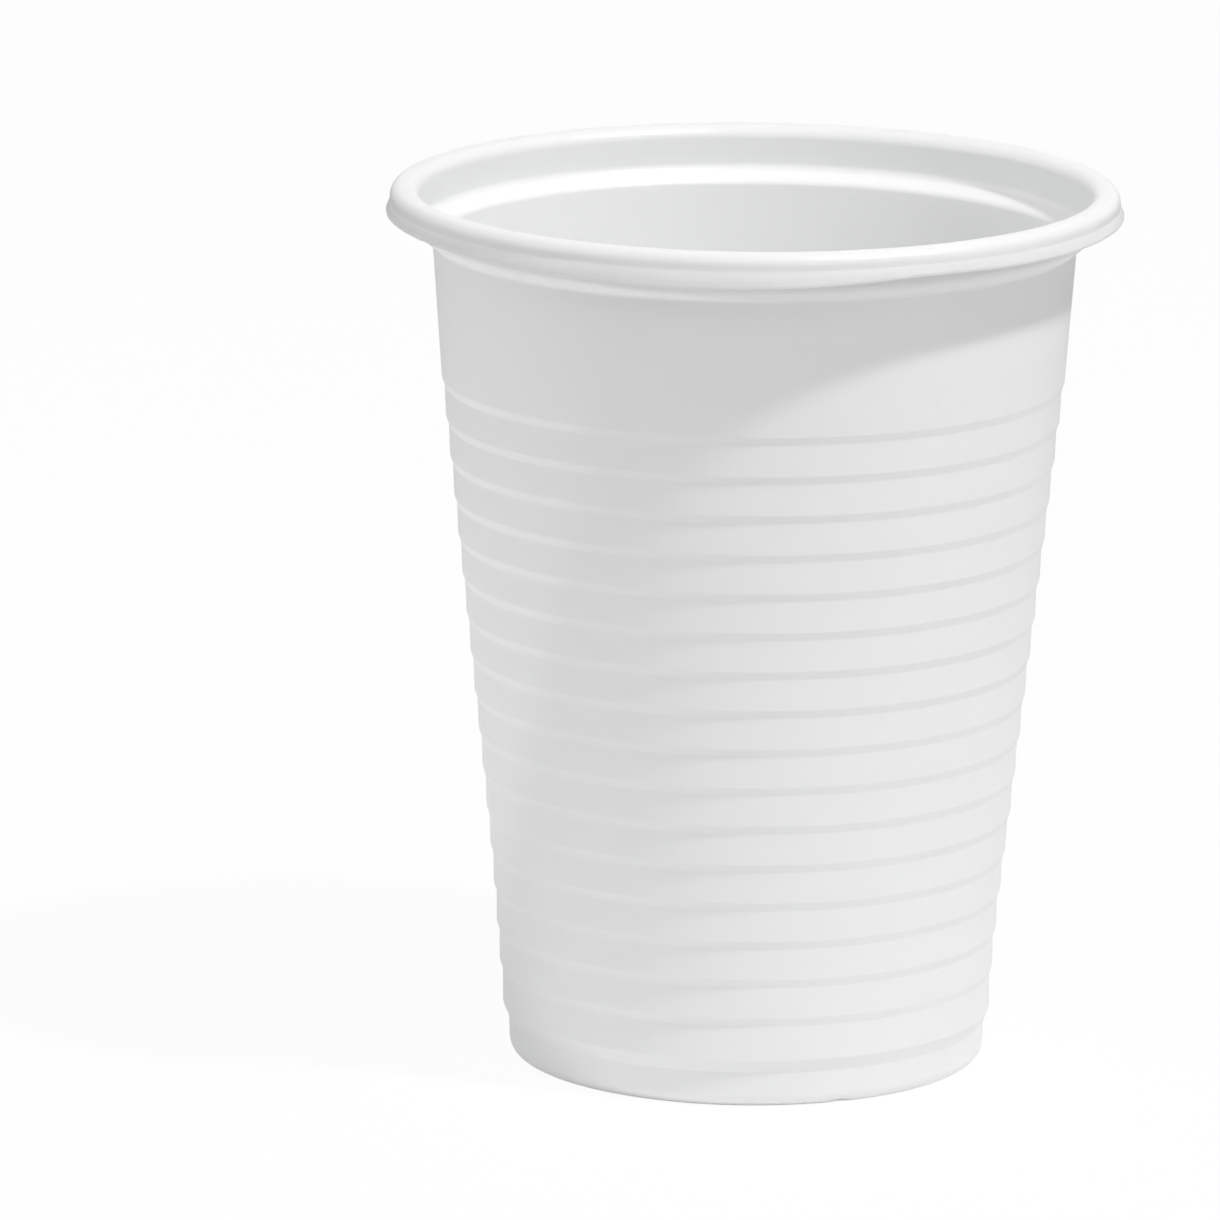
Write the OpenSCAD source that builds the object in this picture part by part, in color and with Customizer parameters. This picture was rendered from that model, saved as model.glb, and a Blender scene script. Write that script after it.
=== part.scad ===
// Disposable drinking cup, formed from one sheet of white plastic.
// The section is a chain of corners along the outside of the sheet, from the middle of
// the base up the stepped wall and over the rolled rim. Each corner is rounded, the
// chain is moved inwards by the sheet's thickness, and both together are turned round Z.
// The origin is in the middle of the base, on the table.

/* [Cup] */
// Height from the table to the top of the rolled rim
cup_h = 84.8; // [70:0.1:140]
// Thickness of the sheet
wall = 0.25; // [0.2:0.01:0.35]

/* [Rolled rim] */
// Largest diameter, at the lower edge of the rim's skirt
rim_d = 70.3; // [66:0.1:90]
// Width of the rim, from the inside of the neck to the lower edge of the skirt
rim_w = 3.1; // [2.95:0.05:3.4]
// Height of the rim, from its top to the lower edge of the skirt
rim_h = 2.75; // [2.7:0.05:4]
// How far the skirt's lower edge stands out past the bead above it
skirt_flare = 0.3; // [0.2:0.05:0.35]
// Angle between the flaring part of the skirt and the upright, in degrees
flare_a = 22; // [20:1:26]
// How far the bead's side leans in, down to the place where the skirt starts to flare
waist_in = 0.07; // [0:0.01:0.1]
// Radius of the rounding at that place
waist_r = 0.5; // [0.2:0.05:0.6]
// Radius over the inner shoulder of the bead
bead_in_r = 1.3; // [0.8:0.05:1.45]
// Radius over the outer shoulder of the bead
bead_out_r = 1.1; // [0.6:0.05:1.2]
// Radius inside the fold at the lower edge of the skirt
fold_r = 0.03; // [0.02:0.01:0.06]
// Width of the hem that is folded in there
hem_w = 0.35; // [0.3:0.05:0.6]
// Height of the hem's edge above the lower edge of the skirt
hem_h = 0.6; // [0.5:0.05:0.75]

/* [Stacking shoulder] */
// Depth of the shoulder's upper end below the top of the rim
shoulder_drop = 4.3; // [3.9:0.05:6]
// Height of the shoulder's slope
shoulder_h = 1.05; // [0.8:0.05:2]
// How far the shoulder steps in
shoulder_in = 1.6; // [0.8:0.05:2]
// Radius of the rounding between the shoulder's slope and the neck
shoulder_r = 1.2; // [0.4:0.05:1.4]

/* [Smooth band] */
// Height of the smooth band, from the shoulder to the first step
smooth_h = 13.5; // [6:0.05:20]
// How much the radius of the smooth band shrinks from its top to its foot
smooth_in = 0.95; // [0.4:0.05:1.6]

/* [Steps] */
// Distance from one step to the next
step_pitch = 3.824; // [3:0.001:6]
// Height of the slope of one step
step_h = 0.8; // [0.6:0.05:1.2]
// How far the wall steps in at one step
step_in = 0.29; // [0.15:0.01:0.35]
// Radius of the rounded edges of a step
step_r = 0.5; // [0.1:0.05:0.8]

/* [Foot] */
// Diameter of the foot band, just below the foot step
foot_d = 45.8; // [40:0.1:50]
// Height of the middle of the foot step above the table
foot_step_z = 4.15; // [3.8:0.05:6]
// Height of the slope of the foot step
foot_step_h = 1.3; // [0.8:0.05:1.6]
// How far the wall steps in at the foot step
foot_step_in = 0.56; // [0.3:0.01:0.7]
// How much the radius of the foot band shrinks towards the table
foot_in = 0.1; // [0:0.05:0.3]
// Radius of the rounded edge between the foot band and the base
foot_r = 1.3; // [0.8:0.05:2]
// How far the lowest steps stand out past the straight taper of the wall
foot_flare = 0.5; // [0:0.05:0.6]
// Height above the table at which that flare has died away
foot_flare_h = 21; // [12:0.5:30]

/* [Base] */
// Width of the flat ring that the cup stands on
ring_w = 1.6; // [1:0.1:3]
// Height of the base panel's underside above the table
panel_rise = 1.5; // [0.8:0.05:2]
// Width of the slope between the flat ring and the base panel
panel_slope = 1; // [0.6:0.05:2]
// Radius of the rounded edges of that slope
panel_r = 0.6; // [0.2:0.05:0.7]

/* [Hidden] */
$fn = 96;
eps = 0.001;

// Largest angle that one straight piece of a rounded corner turns through
arc_step = 10;
// Least height of the lowest band, between the last step and the foot step
band_min = 2.4;

rim_r = rim_d / 2;
neck_r = rim_r - rim_w + wall;
bead_r = rim_r - skirt_flare - wall;
waist_x = bead_r - waist_in;
fold_x = rim_r - wall - fold_r + fold_r * (1 + sin(flare_a)) / cos(flare_a);
top_z = cup_h - wall;
skirt_z = cup_h - rim_h;
fold_z = skirt_z + wall;
waist_z = fold_z + (fold_x - waist_x) / tan(flare_a);
shoulder_z = cup_h - shoulder_drop;
smooth_top_z = shoulder_z - shoulder_h;
smooth_top_r = neck_r - shoulder_in;
first_z = smooth_top_z - smooth_h;
first_r = smooth_top_r - smooth_in - step_in / 2;
foot_top_r = foot_d / 2;
foot_top_z = foot_step_z - foot_step_h / 2;
foot_base_r = foot_top_r - foot_in;
last_r = foot_top_r + foot_step_in;
last_z = foot_step_z + foot_step_h / 2;
step_n = floor((first_z - last_z - band_min) / step_pitch) + 1;
ring_in_r = foot_base_r - foot_r - ring_w;
panel_out_r = ring_in_r - panel_slope;

// How far the wall stands out past its straight taper at height z
function flare(z) = foot_flare * pow(max(0, 1 - z / foot_flare_h), 2);

// Radius of the straight taper at height z, through the first step and the foot step
function taper(z) = let (low_r = last_r - flare(last_z) - step_in / 2)
    low_r + (first_r - low_r) * (z - last_z) / (first_z - last_z);

// Radius of the middle of a step's slope at height z
function step_mid(z) = taper(z) + flare(z);

// Heights of the steps, from the lowest to the first
step_zs = [for (i = [step_n - 1 : -1 : 0]) first_z - i * step_pitch];

// Corners along the outside of the sheet, each as [radius, height, rounding radius]
base_corners = [
    [0, panel_rise, 0],
    [panel_out_r, panel_rise, panel_r],
    [ring_in_r, 0, panel_r],
    [foot_base_r, 0, foot_r]
];
foot_corners = [
    [foot_top_r, foot_top_z, step_r],
    [last_r, last_z, step_r]
];
step_corners = [for (z = step_zs) each [
    [step_mid(z) - step_in / 2, z - step_h / 2, step_r],
    [step_mid(z) + step_in / 2, z + step_h / 2, step_r]
]];
shoulder_corners = [
    [smooth_top_r, smooth_top_z, step_r],
    [neck_r, shoulder_z, shoulder_r]
];
rim_corners = [
    [neck_r, top_z, bead_in_r - wall],
    [bead_r, top_z, bead_out_r - wall],
    [waist_x, waist_z, waist_r],
    [fold_x, fold_z, fold_r],
    [fold_x - hem_w, fold_z, fold_r],
    [fold_x - hem_w, skirt_z + hem_h, 0]
];
outside = concat(base_corners, foot_corners, step_corners, shoulder_corners, rim_corners);

function point(c) = [c[0], c[1]];
function unit(v) = v / norm(v);
function left(v) = [-v[1], v[0]];
function cross2(a, b) = a[0] * b[1] - a[1] * b[0];

// Where the line through p along a meets the line through q along b
function meet(p, a, q, b) = p + a * cross2(q - p, b) / cross2(a, b);

// The chain moved to its left by d; a corner that turns left there gets a smaller radius
function moved(chain, d) = let (
    n = len(chain),
    dirs = [for (i = [0 : n - 2]) unit(point(chain[i + 1]) - point(chain[i]))]
) [for (i = [0 : n - 1]) let (
    c = chain[i],
    a = dirs[max(i - 1, 0)],
    b = dirs[min(i, n - 2)],
    turn = cross2(a, b),
    p = abs(turn) < eps
        ? point(c) + left(b) * d
        : meet(point(c) + left(a) * d, a, point(c) + left(b) * d, b)
) [p[0], p[1], turn > 0 ? max(c[2] - d, 0) : turn < 0 ? c[2] + d : 0]];

// Points of the arc that rounds corner c, between its neighbours before and after
function arc(before, c, after) = let (
    a = unit(point(c) - point(before)),
    b = unit(point(after) - point(c)),
    turn = atan2(cross2(a, b), a * b),
    cut = c[2] * tan(abs(turn) / 2),
    start = point(c) - a * cut,
    n = ceil(abs(turn) / arc_step),
    centre = start + left(a) * c[2] * sign(turn)
) c[2] < eps || n < 1 ? [point(c)] : [for (i = [0 : n]) let (t = turn * i / n)
    centre - (left(a) * cos(t) - a * sin(t)) * c[2] * sign(turn)];

function rounded(chain) = [for (i = [0 : len(chain) - 1])
    each i == 0 || i == len(chain) - 1
        ? [point(chain[i])]
        : arc(chain[i - 1], chain[i], chain[i + 1])];

function backwards(list) = [for (i = [len(list) - 1 : -1 : 0]) list[i]];

module cup() {
    color("whitesmoke")
        rotate_extrude()
            polygon(concat(rounded(outside), backwards(rounded(moved(outside, wall)))));
}

cup();
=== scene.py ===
from math import atan2, ceil, cos, exp, pi, radians, sin, tan

import bmesh
import bpy
from mathutils import Euler, Matrix, Vector, noise


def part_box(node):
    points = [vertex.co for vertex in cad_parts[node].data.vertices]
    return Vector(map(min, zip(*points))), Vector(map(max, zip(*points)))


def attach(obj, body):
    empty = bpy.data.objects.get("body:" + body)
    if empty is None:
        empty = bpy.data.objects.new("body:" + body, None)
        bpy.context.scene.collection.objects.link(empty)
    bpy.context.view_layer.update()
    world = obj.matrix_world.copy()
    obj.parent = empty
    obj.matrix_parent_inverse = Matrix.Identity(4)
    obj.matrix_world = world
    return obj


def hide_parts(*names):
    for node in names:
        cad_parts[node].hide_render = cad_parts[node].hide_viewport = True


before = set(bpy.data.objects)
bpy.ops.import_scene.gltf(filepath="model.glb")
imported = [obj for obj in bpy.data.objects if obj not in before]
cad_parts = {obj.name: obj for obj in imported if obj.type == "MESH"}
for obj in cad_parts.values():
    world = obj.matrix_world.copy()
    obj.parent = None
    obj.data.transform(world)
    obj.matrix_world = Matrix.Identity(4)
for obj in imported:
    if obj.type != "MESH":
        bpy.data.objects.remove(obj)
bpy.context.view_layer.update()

mm = 0.001
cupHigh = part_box("cup")[1]
cupH = cupHigh.z
rimR = cupHigh.x

# Camera as fitted to the photo: long lens, a little above the rim
shot = {
    "place": (0.0, -1.1243, 0.2923),
    "down": 0.218,        # radians below level
    "aside": -0.012,      # radians to the right of the cup's axis
    "roll": 0.0084,
    "lens": 354.1,        # mm, on a 36 mm sensor
}


def setCamera():
    data = bpy.data.cameras.new("camera")
    data.sensor_width = 36
    data.sensor_fit = "HORIZONTAL"
    data.lens = shot["lens"]
    camera = bpy.data.objects.new("camera", data)
    aim = Euler((pi / 2 - shot["down"], 0, -shot["aside"])).to_matrix()
    aim = aim @ Matrix.Rotation(shot["roll"], 3, "Z")
    camera.rotation_euler = aim.to_euler()
    camera.location = shot["place"]
    bpy.context.scene.collection.objects.link(camera)
    bpy.context.scene.camera = camera


setCamera()
print("camera set")

# Sizes of the formed sheet, in mm, with the same names as on the drawing
cup = {
    "wall": 0.25,
    "turns": 256,          # faces round the cup
    "arcStep": 12,         # degrees that one face of a rounded corner turns through
    "rimW": 3.1,
    "rimH": 2.75,
    "skirtFlare": 0.3,
    "flareA": 22,          # degrees from the upright
    "waistIn": 0.07,
    "waistR": 0.5,
    "beadInR": 1.3,
    "beadOutR": 1.1,
    "foldR": 0.03,
    "hemW": 0.35,
    "hemH": 0.6,
    "shoulderDrop": 4.3,
    "shoulderH": 1.05,
    "shoulderIn": 1.6,
    "shoulderR": 1.2,
    "smoothH": 13.5,
    "smoothIn": 0.95,
    "stepPitch": 3.824,
    "stepH": 0.8,
    "stepIn": 0.29,
    "stepR": 0.5,
    "bandMin": 2.4,
    "footR": 22.9,
    "footStepZ": 4.15,
    "footStepH": 1.3,
    "footStepIn": 0.56,
    "footIn": 0.1,
    "footRound": 1.3,
    "footFlare": 0.5,
    "footFlareH": 21,
    "ringW": 1.6,
    "panelRise": 1.5,
    "panelSlope": 1.0,
    "panelR": 0.6,
}

# Places where the thin wall is pushed out of round: angle from the front, height,
# reach along the wall and up it, and push outwards, in degrees and mm
dents = [
    {"angle": -90, "z": 11, "along": 16, "up": 6, "push": 0.12},
    {"angle": 90, "z": 12, "along": 16, "up": 6, "push": -0.06},
    {"angle": 24, "z": 0.2, "along": 0.8, "up": 0.5, "push": -0.3},
    {"angle": -57, "z": 82.2, "along": 0.7, "up": 0.5, "push": 0.12},
    {"angle": -33, "z": 82.2, "along": 15, "up": 0.3, "push": 0.06},
]

# Where the rim's parts lie, in mm: a lift grows from the first height of a pair to the second
rimZone = {
    "neckR": 33,
    "outerR": 33.6,        # beyond it lie the bead's outer half, the skirt and the hem
    "rimZ": (81, 83),
    "skirtZ": (82.4, 83.5),
}

# The rim isn't quite level: lifts in mm, each with its angle and reach in degrees.
# The first list moves the skirt's lower edge, the second the whole rim.
allRound = 999             # so wide a reach that the lift hardly fades
skirtLifts = [
    {"angle": 0, "reach": allRound, "lift": 0.05},
    {"angle": -10, "reach": 34, "lift": -0.58},
    {"angle": 27, "reach": 12, "lift": 0.3},
]
rimLifts = [
    {"angle": -5, "reach": 55, "lift": -0.12},
]
# Soft unevenness of the drawn wall, in mm: its size and push, the radius within which the
# base panel stays flat, and the room kept inside the rim's full radius
waver = {"size": 9, "push": 0.025, "panelR": 10, "clear": 0.005}


def stepHeights(firstZ, lastZ):
    count = int((firstZ - lastZ - cup["bandMin"]) / cup["stepPitch"]) + 1
    return [firstZ - i * cup["stepPitch"] for i in reversed(range(count))]


def sheetCorners():
    # radius, height and rounding radius of each corner, on the outside of the sheet
    c = cup
    height = cupH / mm
    rim = rimR / mm
    wall = c["wall"]
    neck = rim - c["rimW"] + wall
    bead = rim - c["skirtFlare"] - wall
    waist = bead - c["waistIn"]
    lean = radians(c["flareA"])
    fold = rim - wall - c["foldR"] + c["foldR"] * (1 + sin(lean)) / cos(lean)
    topZ = height - wall
    foldZ = height - c["rimH"] + wall
    shoulderZ = height - c["shoulderDrop"]
    smoothZ = shoulderZ - c["shoulderH"]
    smoothR = neck - c["shoulderIn"]
    firstZ = smoothZ - c["smoothH"]
    firstR = smoothR - c["smoothIn"] - c["stepIn"] / 2
    lastZ = c["footStepZ"] + c["footStepH"] / 2
    lastR = c["footR"] + c["footStepIn"]
    baseR = c["footR"] - c["footIn"]
    ringR = baseR - c["footRound"] - c["ringW"]

    def flare(z):
        return c["footFlare"] * max(0, 1 - z / c["footFlareH"]) ** 2

    def middle(z):
        low = lastR - flare(lastZ) - c["stepIn"] / 2
        return low + (firstR - low) * (z - lastZ) / (firstZ - lastZ) + flare(z)

    corners = [
        (0, c["panelRise"], 0),
        (ringR - c["panelSlope"], c["panelRise"], c["panelR"]),
        (ringR, 0, c["panelR"]),
        (baseR, 0, c["footRound"]),
        (c["footR"], c["footStepZ"] - c["footStepH"] / 2, c["stepR"]),
        (lastR, lastZ, c["stepR"]),
    ]
    for z in stepHeights(firstZ, lastZ):
        corners.append((middle(z) - c["stepIn"] / 2, z - c["stepH"] / 2, c["stepR"]))
        corners.append((middle(z) + c["stepIn"] / 2, z + c["stepH"] / 2, c["stepR"]))
    return corners + [
        (smoothR, smoothZ, c["stepR"]),
        (neck, shoulderZ, c["shoulderR"]),
        (neck, topZ, c["beadInR"] - wall),
        (bead, topZ, c["beadOutR"] - wall),
        (waist, foldZ + (fold - waist) / tan(lean), c["waistR"]),
        (fold, foldZ, c["foldR"]),
        (fold - c["hemW"], foldZ, c["foldR"]),
        (fold - c["hemW"], foldZ - wall + c["hemH"], 0),
    ]


def roundCorner(bm, corner, radius):
    a, b = (e.other_vert(corner).co - corner.co for e in corner.link_edges)
    turn = pi - a.angle(b)
    bmesh.ops.bevel(bm, geom=[corner], affect="VERTICES", offset=radius * tan(turn / 2),
                    offset_type="OFFSET", segments=ceil(turn / radians(cup["arcStep"])),
                    profile=0.5, material=-1, clamp_overlap=False)


def ease(value, low, high):
    share = min(1, max(0, (value - low) / (high - low)))
    return share * share * (3 - 2 * share)


def turnBetween(angle, degrees):
    return (angle - radians(degrees) + pi) % (2 * pi) - pi


def pushDents(bm):
    widest = rimR - (cup["wall"] + waver["clear"]) * mm
    for v in bm.verts:
        radius = v.co.xy.length
        if radius < waver["panelR"] * mm:
            continue
        angle = atan2(v.co.x, -v.co.y)
        push = waver["push"] * noise.noise(v.co / (waver["size"] * mm))
        for dent in dents:
            onRim = dent["z"] > rimZone["rimZ"][0]
            if onRim and radius < rimZone["outerR"] * mm:     # the neck stays round
                continue
            along = turnBetween(angle, dent["angle"]) * radius / mm / dent["along"]
            up = (v.co.z / mm - dent["z"]) / dent["up"]
            push += dent["push"] * exp(-along * along - up * up)
        v.co.xy *= min(radius + push * mm, widest) / radius


def liftAt(lifts, angle):
    total = 0
    for one in lifts:
        away = turnBetween(angle, one["angle"]) / radians(one["reach"])
        total += one["lift"] * exp(-away * away)
    return total


def bendRim(bm):
    for v in bm.verts:
        radius, z = v.co.xy.length / mm, v.co.z / mm
        if z < rimZone["rimZ"][0] and radius < rimZone["neckR"]:
            continue
        angle = atan2(v.co.x, -v.co.y)
        onRim = ease(z, *rimZone["rimZ"]) if radius < rimZone["neckR"] else 1
        onSkirt = 1 - ease(z, *rimZone["skirtZ"]) if radius > rimZone["outerR"] else 0
        lift = onRim * liftAt(rimLifts, angle) + onSkirt * liftAt(skirtLifts, angle)
        v.co.z = min(v.co.z + lift * mm, cupH)


def makeCup():
    bm = bmesh.new()
    corners = sheetCorners()
    verts = [bm.verts.new((r * mm, 0, z * mm)) for r, z, _ in corners]
    for low, high in zip(verts, verts[1:]):
        bm.edges.new((low, high))
    for vert, corner in zip(verts, corners):
        if corner[2] > 0:
            roundCorner(bm, vert, corner[2] * mm)
    print("section has", len(bm.verts), "points")
    bmesh.ops.spin(bm, geom=bm.verts[:] + bm.edges[:], cent=(0, 0, 0), axis=(0, 0, 1),
                   angle=2 * pi, steps=cup["turns"], use_merge=True)
    bmesh.ops.remove_doubles(bm, verts=bm.verts[:], dist=0.001 * mm)
    bmesh.ops.recalc_face_normals(bm, faces=bm.faces[:])
    side = max(bm.faces, key=lambda f: f.calc_area() * (f.calc_center_median().z > cupH / 2))
    if side.normal.dot(side.calc_center_median()) < 0:
        bmesh.ops.reverse_faces(bm, faces=bm.faces[:])
    pushDents(bm)
    bendRim(bm)
    for face in bm.faces:
        face.smooth = True
    mesh = bpy.data.meshes.new("cupShell")
    bm.to_mesh(mesh)
    bm.free()
    piece = bpy.data.objects.new("cupShell", mesh)
    bpy.context.scene.collection.objects.link(piece)
    thick = piece.modifiers.new("wall", "SOLIDIFY")
    thick.thickness = cup["wall"] * mm
    thick.offset = -1
    thick.use_even_offset = True
    normals = piece.modifiers.new("evenShading", "WEIGHTED_NORMAL")
    normals.mode = "FACE_AREA"
    normals.weight = 50
    return piece


# White formed sheet: colour, gloss and the cloudy unevenness of drawn plastic
sheet = {
    "colour": (0.945, 0.955, 0.96, 1),
    "depth": 0.8,          # mm that light travels inside the white plastic
    "ior": 1.5,
    "roughness": 0.37,
    "roughSpread": 0.05,
    "cloudSize": 90,       # noise scale per metre
    "cloud": 0.01,         # how far the cloudiness darkens the colour
    "grainSize": 1500,
    "grainLift": 0.003,    # mm
    "drawSize": 700,       # upright marks left by drawing the hot sheet
    "drawLift": 0.004,
    "drawLong": 0.06,      # noise scale up the wall as a share of that round it
    "pitLift": 0.05,       # depth of the specks below, in mm
}
# Specks in the wall: angle from the front, then radius, height and size in mm
pits = [
    {"angle": 35.1, "radius": 29.8, "z": 68.3, "size": 0.6},
    {"angle": 44.5, "radius": 23.63, "z": 6.3, "size": 0.5},
]


def makeNoise(nodes, links, spot, size, detail):
    made = nodes.new("ShaderNodeTexNoise")
    made.inputs["Scale"].default_value = size
    made.inputs["Detail"].default_value = detail
    links.new(spot, made.inputs["Vector"])
    return made.outputs["Fac"]


def blend(nodes, links, kind, one, other):
    made = nodes.new("ShaderNodeMath")
    made.operation = kind
    for socket, value in zip(made.inputs, (one, other)):
        if isinstance(value, (int, float)):
            socket.default_value = value
        else:
            links.new(value, socket)
    return made.outputs[0]


def pitPlace(pit):
    turn = radians(pit["angle"])
    return Vector((sin(turn), -cos(turn), 0)) * pit["radius"] * mm + Vector((0, 0, pit["z"] * mm))


def makeSheet():
    material = bpy.data.materials.new("whiteSheet")
    material.use_nodes = True
    nodes, links = material.node_tree.nodes, material.node_tree.links
    shader = nodes["Principled BSDF"]
    shader.inputs["Subsurface Weight"].default_value = 1
    shader.inputs["Subsurface Radius"].default_value = (1.0, 1.0, 1.0)
    shader.inputs["Subsurface Scale"].default_value = sheet["depth"] * mm
    shader.inputs["IOR"].default_value = sheet["ior"]
    spot = nodes.new("ShaderNodeTexCoord").outputs["Object"]
    cloud = makeNoise(nodes, links, spot, sheet["cloudSize"], 3)
    tint = nodes.new("ShaderNodeMix")
    tint.data_type = "RGBA"
    dim = 1 - 2 * sheet["cloud"]
    tint.inputs["A"].default_value = tuple(v * dim for v in sheet["colour"][:3]) + (1,)
    tint.inputs["B"].default_value = sheet["colour"]
    links.new(cloud, tint.inputs["Factor"])
    links.new(tint.outputs["Result"], shader.inputs["Base Color"])
    rough = nodes.new("ShaderNodeMapRange")
    rough.inputs["To Min"].default_value = sheet["roughness"] - sheet["roughSpread"]
    rough.inputs["To Max"].default_value = sheet["roughness"] + sheet["roughSpread"]
    links.new(cloud, rough.inputs["Value"])
    links.new(rough.outputs["Result"], shader.inputs["Roughness"])
    stretch = nodes.new("ShaderNodeMapping")
    stretch.inputs["Scale"].default_value = (1, 1, sheet["drawLong"])
    links.new(spot, stretch.inputs["Vector"])
    draw = makeNoise(nodes, links, stretch.outputs["Vector"], sheet["drawSize"], 2)
    grain = makeNoise(nodes, links, spot, sheet["grainSize"], 3)
    height = blend(nodes, links, "ADD",
                   blend(nodes, links, "MULTIPLY", draw, sheet["drawLift"]),
                   blend(nodes, links, "MULTIPLY", grain, sheet["grainLift"]))
    for pit in pits:
        away = nodes.new("ShaderNodeVectorMath")
        away.operation = "DISTANCE"
        away.inputs[1].default_value = pitPlace(pit)
        links.new(spot, away.inputs[0])
        edge = nodes.new("ShaderNodeMapRange")
        edge.interpolation_type = "SMOOTHSTEP"
        edge.inputs["From Max"].default_value = pit["size"] * mm
        edge.inputs["To Min"].default_value = -sheet["pitLift"]
        edge.inputs["To Max"].default_value = 0
        links.new(away.outputs["Value"], edge.inputs["Value"])
        height = blend(nodes, links, "ADD", height, edge.outputs["Result"])
    bump = nodes.new("ShaderNodeBump")
    bump.inputs["Strength"].default_value = 1
    bump.inputs["Distance"].default_value = mm      # heights are in mm
    links.new(height, bump.inputs["Height"])
    links.new(bump.outputs["Normal"], shader.inputs["Normal"])
    return material


cupShell = makeCup()
cupShell.data.materials.append(makeSheet())
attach(cupShell, "root")
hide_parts("cup")
print("cup made")

# White table and plain studio light, the brightest lamp up on the right
studio = {
    "floorW": 6.0,
    "floorNear": 0.91,     # the table's colour round the cup
    "paintedFarShade": 0.1,       # painted shade: beyond the lamps' light the table's colour darkens to this, as the cup sees it
    # the painted pool of light on the table fades out between these radii, in m
    "nearR": 0.12,
    "farR": 0.45,
    "shade": 0.06,         # how much of the table's own shading the camera sees
    "mirrored": 0.3,       # how much plain white the cup's gloss sees in the table
    "sky": 0.3,
}
# Lamps: degrees to the right of the front and above the table, distance and sizes in m
lamps = [
    {"name": "key", "shape": "DISK", "angle": 57, "up": 58.5, "far": 1.5,
     "wide": 0.12, "high": 0.12, "power": 14.5},
    {"name": "front", "shape": "RECTANGLE", "angle": 0, "up": 35, "far": 1.5,
     "wide": 2.1, "high": 0.75, "power": 4.6},
    {"name": "left", "shape": "RECTANGLE", "angle": -90, "up": 22, "far": 1.5,
     "wide": 2.1, "high": 0.75, "power": 4.9},
]


def makeFloor():
    bm = bmesh.new()
    bmesh.ops.create_grid(bm, x_segments=1, y_segments=1, size=studio["floorW"] / 2)
    mesh = bpy.data.meshes.new("floor")
    bm.to_mesh(mesh)
    bm.free()
    floor = bpy.data.objects.new("floor", mesh)
    bpy.context.scene.collection.objects.link(floor)
    material = bpy.data.materials.new("whiteTable")
    material.use_nodes = True
    nodes, links = material.node_tree.nodes, material.node_tree.links
    nodes.clear()
    path = nodes.new("ShaderNodeLightPath")
    spot = nodes.new("ShaderNodeTexCoord")
    away = nodes.new("ShaderNodeVectorMath")
    away.operation = "LENGTH"
    links.new(spot.outputs["Object"], away.inputs[0])
    # Painted pool of light: for rays other than camera rays the table's colour darkens from nearR
    # to farR, standing in for the lamps' light falling off; camera rays see the plain colour
    fade = nodes.new("ShaderNodeMapRange")
    fade.interpolation_type = "SMOOTHSTEP"
    fade.inputs["From Min"].default_value = studio["nearR"]
    fade.inputs["From Max"].default_value = studio["farR"]
    fade.inputs["To Min"].default_value = studio["floorNear"]
    fade.inputs["To Max"].default_value = studio["paintedFarShade"]
    links.new(away.outputs["Value"], fade.inputs["Value"])
    white = nodes.new("ShaderNodeMix")
    white.inputs["B"].default_value = studio["floorNear"]
    links.new(path.outputs["Is Camera Ray"], white.inputs["Factor"])
    links.new(fade.outputs["Result"], white.inputs["A"])
    table = nodes.new("ShaderNodeBsdfDiffuse")
    links.new(white.outputs["Result"], table.inputs["Color"])
    paper = nodes.new("ShaderNodeEmission")
    paper.inputs["Strength"].default_value = 1
    seen = blend(nodes, links, "MULTIPLY", path.outputs["Is Camera Ray"], 1 - studio["shade"])
    gloss = blend(nodes, links, "MAXIMUM", path.outputs["Is Glossy Ray"],
                  path.outputs["Is Transmission Ray"])
    gloss = blend(nodes, links, "MULTIPLY", gloss, studio["mirrored"])
    both = nodes.new("ShaderNodeMixShader")
    links.new(blend(nodes, links, "MAXIMUM", seen, gloss), both.inputs["Fac"])
    links.new(table.outputs[0], both.inputs[1])
    links.new(paper.outputs[0], both.inputs[2])
    out = nodes.new("ShaderNodeOutputMaterial")
    links.new(both.outputs[0], out.inputs["Surface"])
    mesh.materials.append(material)


def lightSky():
    world = bpy.data.worlds.new("studio")
    bpy.context.scene.world = world
    world.use_nodes = True
    nodes, links = world.node_tree.nodes, world.node_tree.links
    sky = nodes["Background"]
    sky.inputs["Color"].default_value = (1, 1, 1, 1)
    path = nodes.new("ShaderNodeLightPath")
    seen = blend(nodes, links, "MAXIMUM", path.outputs["Is Camera Ray"],
                 path.outputs["Is Glossy Ray"])
    seen = blend(nodes, links, "MAXIMUM", seen, path.outputs["Is Transmission Ray"])
    level = nodes.new("ShaderNodeMix")
    level.inputs["A"].default_value = studio["sky"]
    level.inputs["B"].default_value = 1
    links.new(seen, level.inputs["Factor"])
    links.new(level.outputs["Result"], sky.inputs["Strength"])


def hangLamp(lamp):
    data = bpy.data.lights.new(lamp["name"], "AREA")
    data.shape = lamp["shape"]
    data.size = lamp["wide"]
    data.size_y = lamp["high"]
    data.energy = lamp["power"]
    hung = bpy.data.objects.new(lamp["name"], data)
    angle, up = radians(lamp["angle"]), radians(lamp["up"])
    away = Vector((cos(up) * sin(angle), -cos(up) * cos(angle), sin(up)))
    hung.location = Vector((0, 0, cupH / 2)) + away * lamp["far"]
    hung.rotation_euler = away.to_track_quat("Z", "Y").to_euler()
    bpy.context.scene.collection.objects.link(hung)


makeFloor()
lightSky()
for lamp in lamps:
    hangLamp(lamp)
bpy.context.scene.view_settings.view_transform = "Standard"
print("studio lit")
